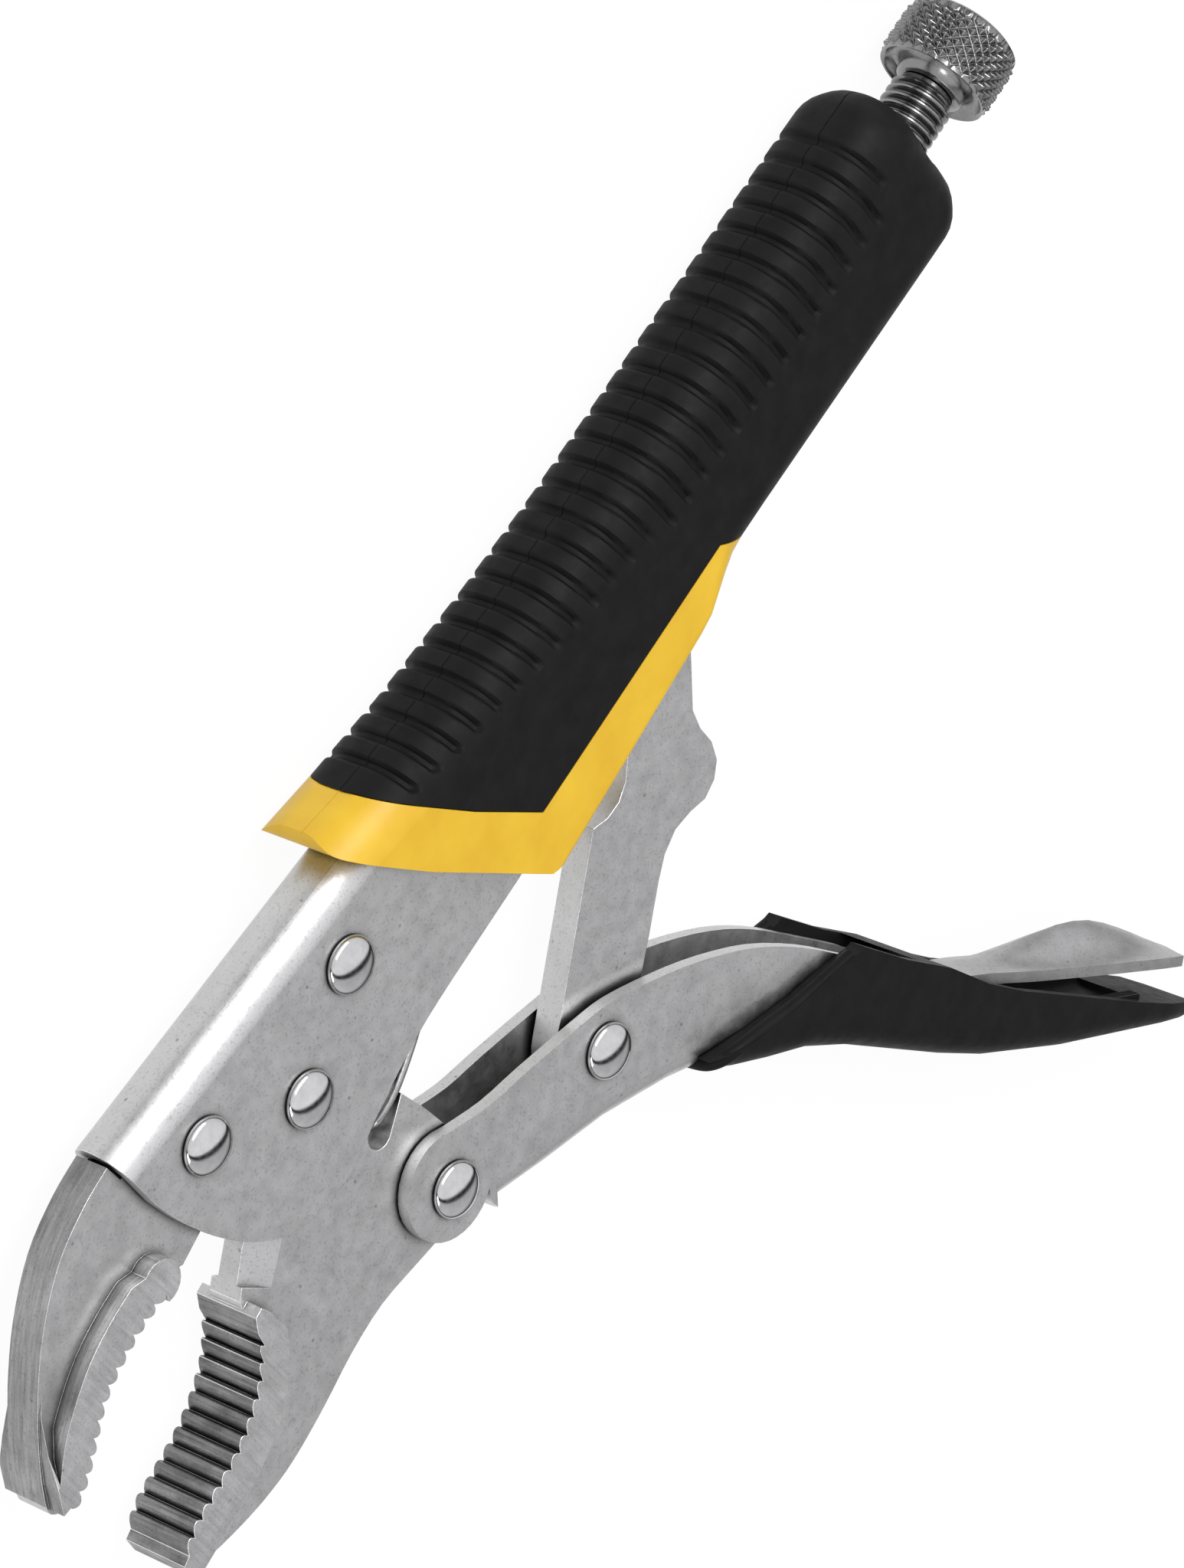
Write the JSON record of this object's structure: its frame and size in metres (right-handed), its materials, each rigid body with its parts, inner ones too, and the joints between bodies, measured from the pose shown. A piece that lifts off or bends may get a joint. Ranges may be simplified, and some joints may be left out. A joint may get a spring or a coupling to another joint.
{
  "type": "locking pliers",
  "caption": "Curved-jaw locking pliers with a pressed-steel fixed handle, toggle lever, release lever, adjusting screw and soft grips.",
  "frame": {"origin": "middle of the lowest face of the whole tool, which lies on its side with the lever fully open", "axes": "+X along the adjusting screw, from the jaws to the knob; +Y from the lever to the spine of the fixed handle; +Z along the rivets, upwards"},
  "size_m": [0.249, 0.1864, 0.019],
  "materials": {
    "frame": "satin nickel plating",
    "upper_jaw": "satin nickel plating over forged steel",
    "lower_jaw": "satin nickel plating over forged steel",
    "lever": "satin nickel plating",
    "toggle_link": "satin nickel plating",
    "release_lever": "satin nickel plating",
    "lever_grip": "matte",
    "front_jaw_rivet": "polished",
    "rear_jaw_rivet": "polished",
    "jaw_pivot_rivet": "polished",
    "lever_pivot_rivet": "polished",
    "link_pivot_rivet": "polished",
    "release_pin": "dark bright plating",
    "adjusting_screw": "dark bright plating",
    "knurled_knob": "dark bright plating",
    "return_spring": "bare wire",
    "grip_liner": "satin",
    "grip_cover": "matte"
  },
  "bodies": {
    "fixed_handle": {"frame": "frame", "upper_jaw": "upper_jaw", "front_jaw_rivet": "front_jaw_rivet", "rear_jaw_rivet": "rear_jaw_rivet", "jaw_pivot_rivet": "jaw_pivot_rivet", "grip_liner": "grip_liner", "grip_cover": "grip_cover", "return_spring": "return_spring"},
    "lower_jaw": {"lower_jaw": "lower_jaw", "lever_pivot_rivet": "lever_pivot_rivet"},
    "lever": {"lever": "lever", "lever_grip": "lever_grip", "link_pivot_rivet": "link_pivot_rivet", "release_pin": "release_pin"},
    "toggle_link": {"toggle_link": "toggle_link"},
    "release_lever": {"release_lever": "release_lever"},
    "adjusting_screw": {"adjusting_screw": "adjusting_screw"},
    "knob": {"knurled_knob": "knurled_knob"}
  },
  "joints": [
    {"name": "jaw_hinge", "type": "hinge", "parent": "fixed_handle", "child": "lower_jaw", "pos_m": [-0.05905, 0.06671, 0.0095], "axis": [0, 0, 1], "range_deg": [-21.3, 0.1], "deforming": ["return_spring"]},
    {"name": "lever_hinge", "type": "hinge", "parent": "lower_jaw", "child": "lever", "pos_m": [-0.05225, 0.03141, 0.0095], "axis": [0, 0, 1], "range_deg": [0, 57]},
    {"name": "link_hinge", "type": "hinge", "parent": "lever", "child": "toggle_link", "pos_m": [-0.02135, 0.02021, 0.0095], "axis": [0, 0, 1], "range_deg": [-55.3, 0.1]},
    {"name": "release_hinge", "type": "hinge", "parent": "lever", "child": "release_lever", "pos_m": [0.02175, -0.03339, 0.0095], "axis": [0, 0, 1], "range_deg": [-4, 0]},
    {"name": "screw_slide", "type": "slide", "parent": "fixed_handle", "child": "adjusting_screw", "axis": [1, 0, 0], "range_m": [-0.003, 0.012]},
    {"name": "knob_turn", "type": "hinge", "parent": "adjusting_screw", "child": "knob", "pos_m": [0.11515, 0.07021, 0.0095], "axis": [1, 0, 0], "range_deg": [-721, 2881]}
  ],
  "couplings": [
    {"joint": "jaw_hinge", "follows": "lever_hinge", "ratio": -0.372},
    {"joint": "link_hinge", "follows": "lever_hinge", "ratio": -0.968},
    {"joint": "knob_turn", "follows": "screw_slide", "rad_per_m": 4188.8}
  ]
}
